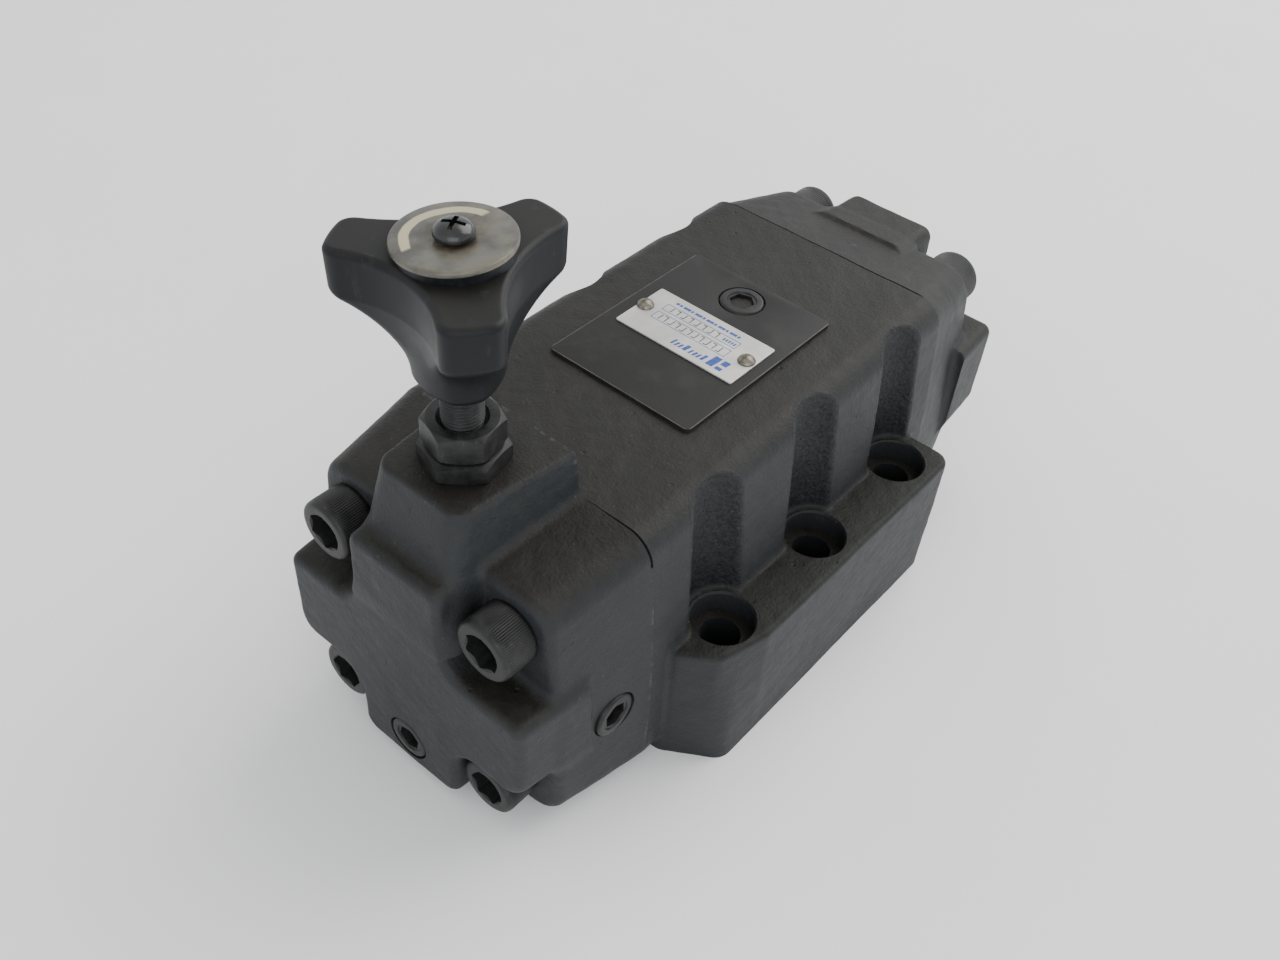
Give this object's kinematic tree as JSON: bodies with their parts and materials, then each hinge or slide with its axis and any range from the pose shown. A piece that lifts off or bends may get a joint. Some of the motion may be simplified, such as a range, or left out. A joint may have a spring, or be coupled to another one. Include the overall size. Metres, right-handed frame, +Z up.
{
  "type": "hydraulic pressure reducing valve",
  "caption": "Sub-plate mounted hydraulic valve: cast body with bolting flange, bolted end covers, and a three-lobed hand knob with lock nut on the pilot.",
  "frame": {"origin": "centre of the mounting bolt pattern, on the mounting face", "axes": "+Z up out of the mounting face; the main bore lies along Y with the knob and front cover at -Y; +X is the side with the side passage plug"},
  "size_m": [0.1218, 0.2151, 0.16],
  "materials": {
    "cast_body": "dark grey paint on sand-cast skin",
    "black_steel": "black oxide",
    "ground_steel": "ground",
    "spring_steel": "drawn wire",
    "seal_rubber": "moulded",
    "knob_plastic": "satin moulded",
    "plate_aluminium": "aged satin"
  },
  "bodies": {
    "housing": {"valve_body": "cast_body", "front_cover": "cast_body", "rear_cover": "cast_body", "front_cover_screw_1": "black_steel", "front_cover_screw_2": "black_steel", "front_cover_screw_3": "black_steel", "front_cover_screw_4": "black_steel", "rear_cover_screw_1": "black_steel", "rear_cover_screw_2": "black_steel", "rear_cover_screw_3": "black_steel", "rear_cover_screw_4": "black_steel", "gauge_port_plug": "black_steel", "front_passage_plug": "black_steel", "side_passage_plug": "black_steel", "nameplate": "plate_aluminium", "nameplate_rivet_1": "ground_steel", "nameplate_rivet_2": "ground_steel", "spring_seat": "ground_steel", "main_spring": "spring_steel", "pilot_seat": "ground_steel", "pilot_spring": "spring_steel", "retainer": "black_steel", "retainer_ring": "seal_rubber", "front_joint_ring": "seal_rubber", "rear_joint_ring": "seal_rubber", "inlet_port_ring": "seal_rubber", "outlet_port_ring": "seal_rubber", "drain_port_ring": "seal_rubber"},
    "main_spool": {"main_spool": "ground_steel", "spool_orifice": "ground_steel"},
    "pilot_poppet": {"pilot_poppet": "ground_steel"},
    "spring_holder": {"spring_holder": "ground_steel", "spring_holder_ring": "seal_rubber"},
    "adjuster": {"adjusting_screw": "black_steel", "knob": "knob_plastic", "knob_disc": "plate_aluminium", "knob_screw": "black_steel"},
    "lock_nut": {"lock_nut": "black_steel"}
  },
  "joints": [
    {"name": "spool_slide", "type": "slide", "parent": "housing", "child": "main_spool", "axis": [0, -1, 0], "range_m": [0, 0.006], "stiffness_N_per_m": 1500, "springref_m": -0.004, "deforming": ["main_spring"]},
    {"name": "poppet_slide", "type": "slide", "parent": "housing", "child": "pilot_poppet", "axis": [0, 0, 1], "range_m": [0, 0.001], "stiffness_N_per_m": 600, "springref_m": -0.002},
    {"name": "holder_slide", "type": "slide", "parent": "housing", "child": "spring_holder", "axis": [0, 0, 1], "range_m": [-0.00751, 0.00601], "deforming": ["pilot_spring"]},
    {"name": "knob_turn", "type": "hinge", "parent": "spring_holder", "child": "adjuster", "pos_m": [0, -0.0852, 0.153], "axis": [0, 0, 1], "range_deg": [-1800, 1440]},
    {"name": "lock_nut_turn", "type": "hinge", "parent": "housing", "child": "lock_nut", "pos_m": [0, -0.0852, 0.1067], "axis": [0, 0, 1], "range_deg": [0, 180]}
  ],
  "couplings": [
    {"joint": "holder_slide", "follows": "knob_turn", "m_per_rad": 0.00023873}
  ]
}
